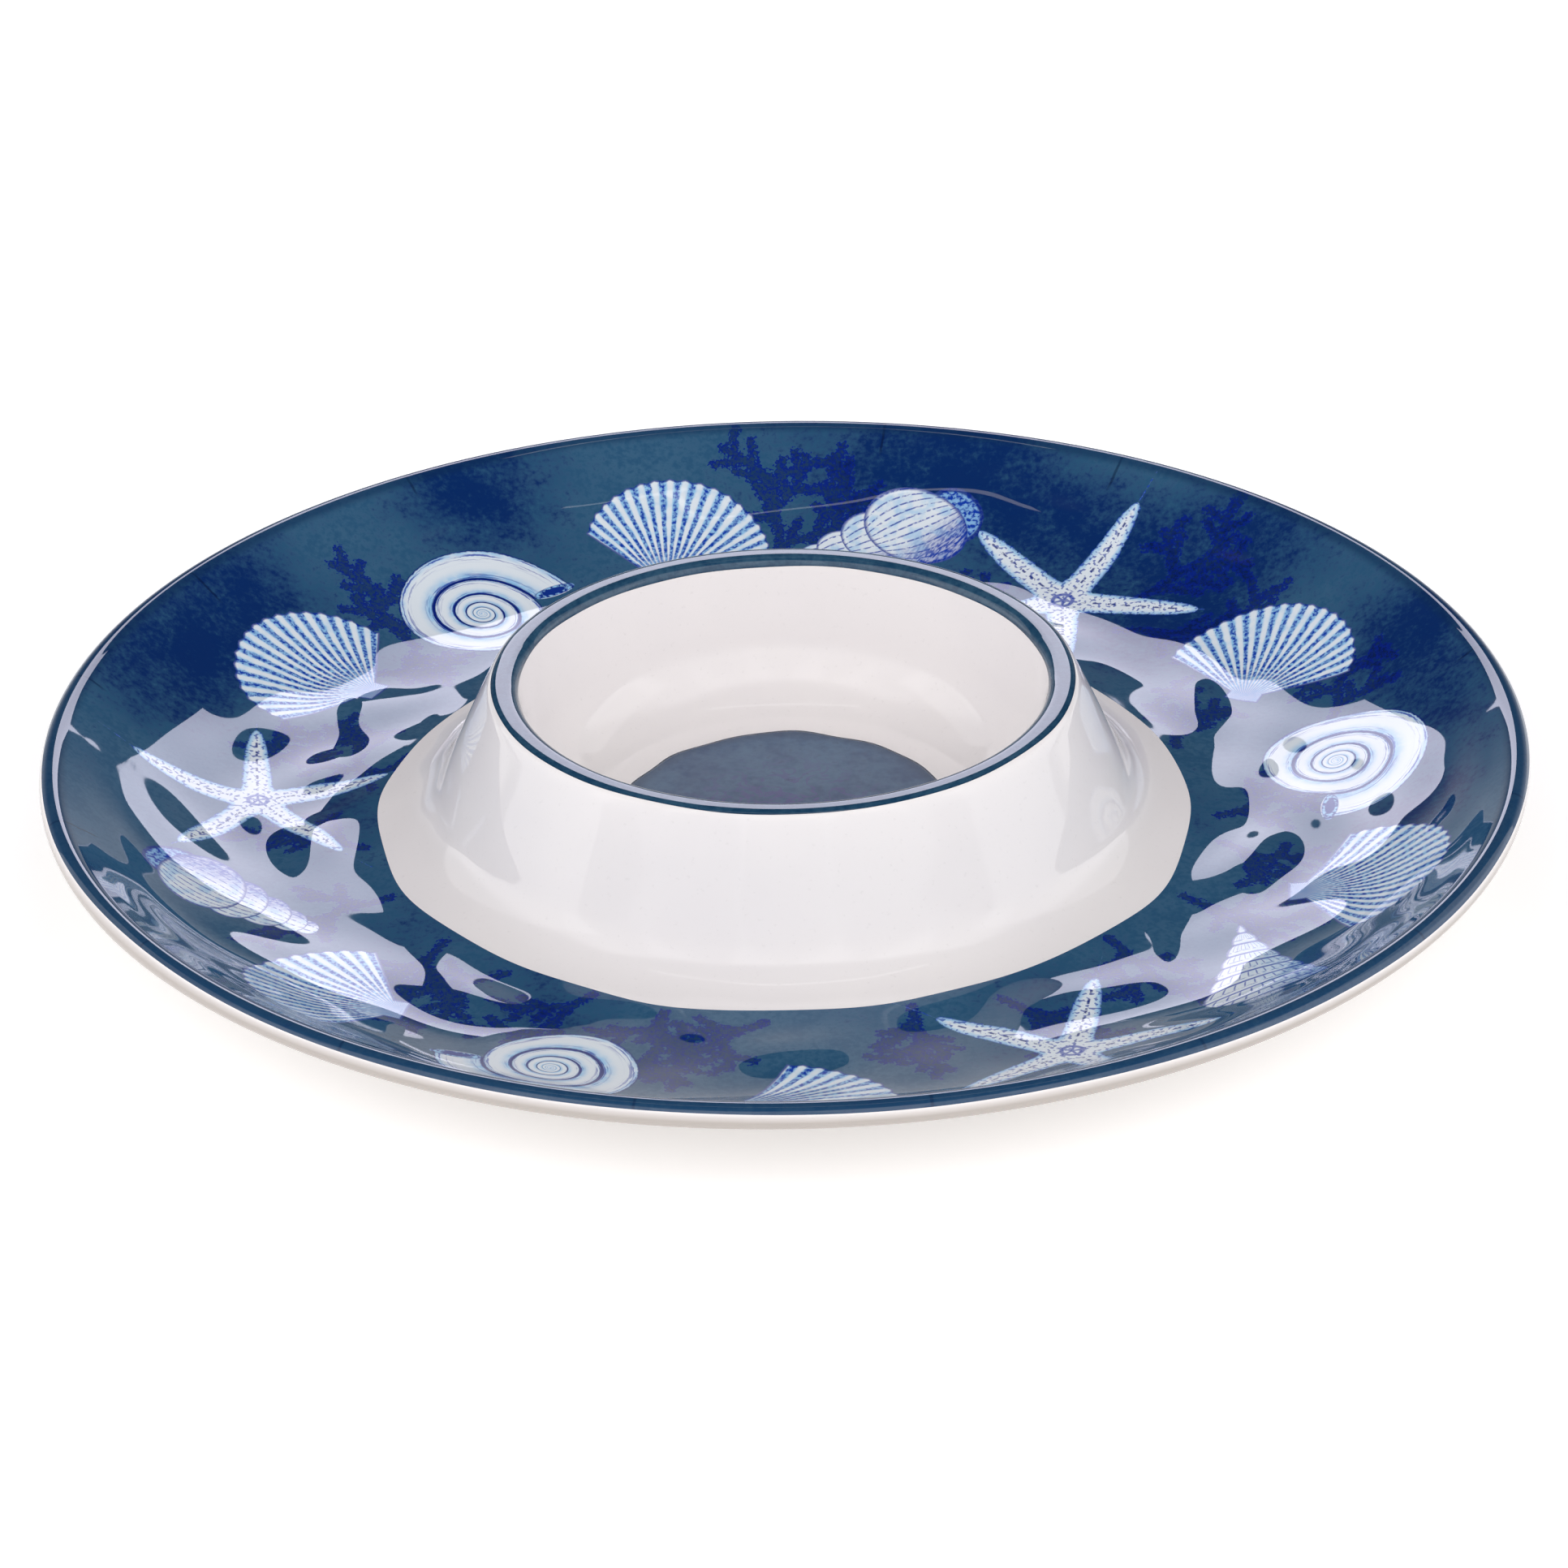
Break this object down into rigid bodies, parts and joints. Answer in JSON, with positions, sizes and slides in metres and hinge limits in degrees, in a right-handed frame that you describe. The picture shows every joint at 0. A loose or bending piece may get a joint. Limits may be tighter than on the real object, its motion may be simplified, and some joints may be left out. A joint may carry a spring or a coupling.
{
  "type": "chip and dip server",
  "caption": "Round serving dish with a wide chip well, a dip bowl on a flared cone in its middle, a foot ring, and printed foils under a clear glaze.",
  "frame": {"origin": "centre of the foot ring's resting plane, on the axis of the dish", "axes": "+Z is the axis of the dish, upward from the table; X and Y lie in the table's plane, +X to the right and -Y towards the viewer"},
  "size_m": [0.381, 0.381, 0.0455],
  "materials": {
    "white_melamine": "glossy warm white moulded melamine",
    "well_print": "printed foil, navy and slate-teal wash with pale seashells, starfish and coral, fused under glaze",
    "rim_print": "printed foil, slate teal with a fine mottle, fused under glaze",
    "dip_print": "printed foil, slate teal with faint violet-blue coral, fused under glaze",
    "clear_glaze": "clear glossy melamine glaze"
  },
  "bodies": {
    "root": {"server_body": "white_melamine", "chip_well_foil": "well_print", "dip_rim_foil": "rim_print", "dip_floor_foil": "dip_print", "clear_glaze": "clear_glaze"}
  },
  "joints": []
}
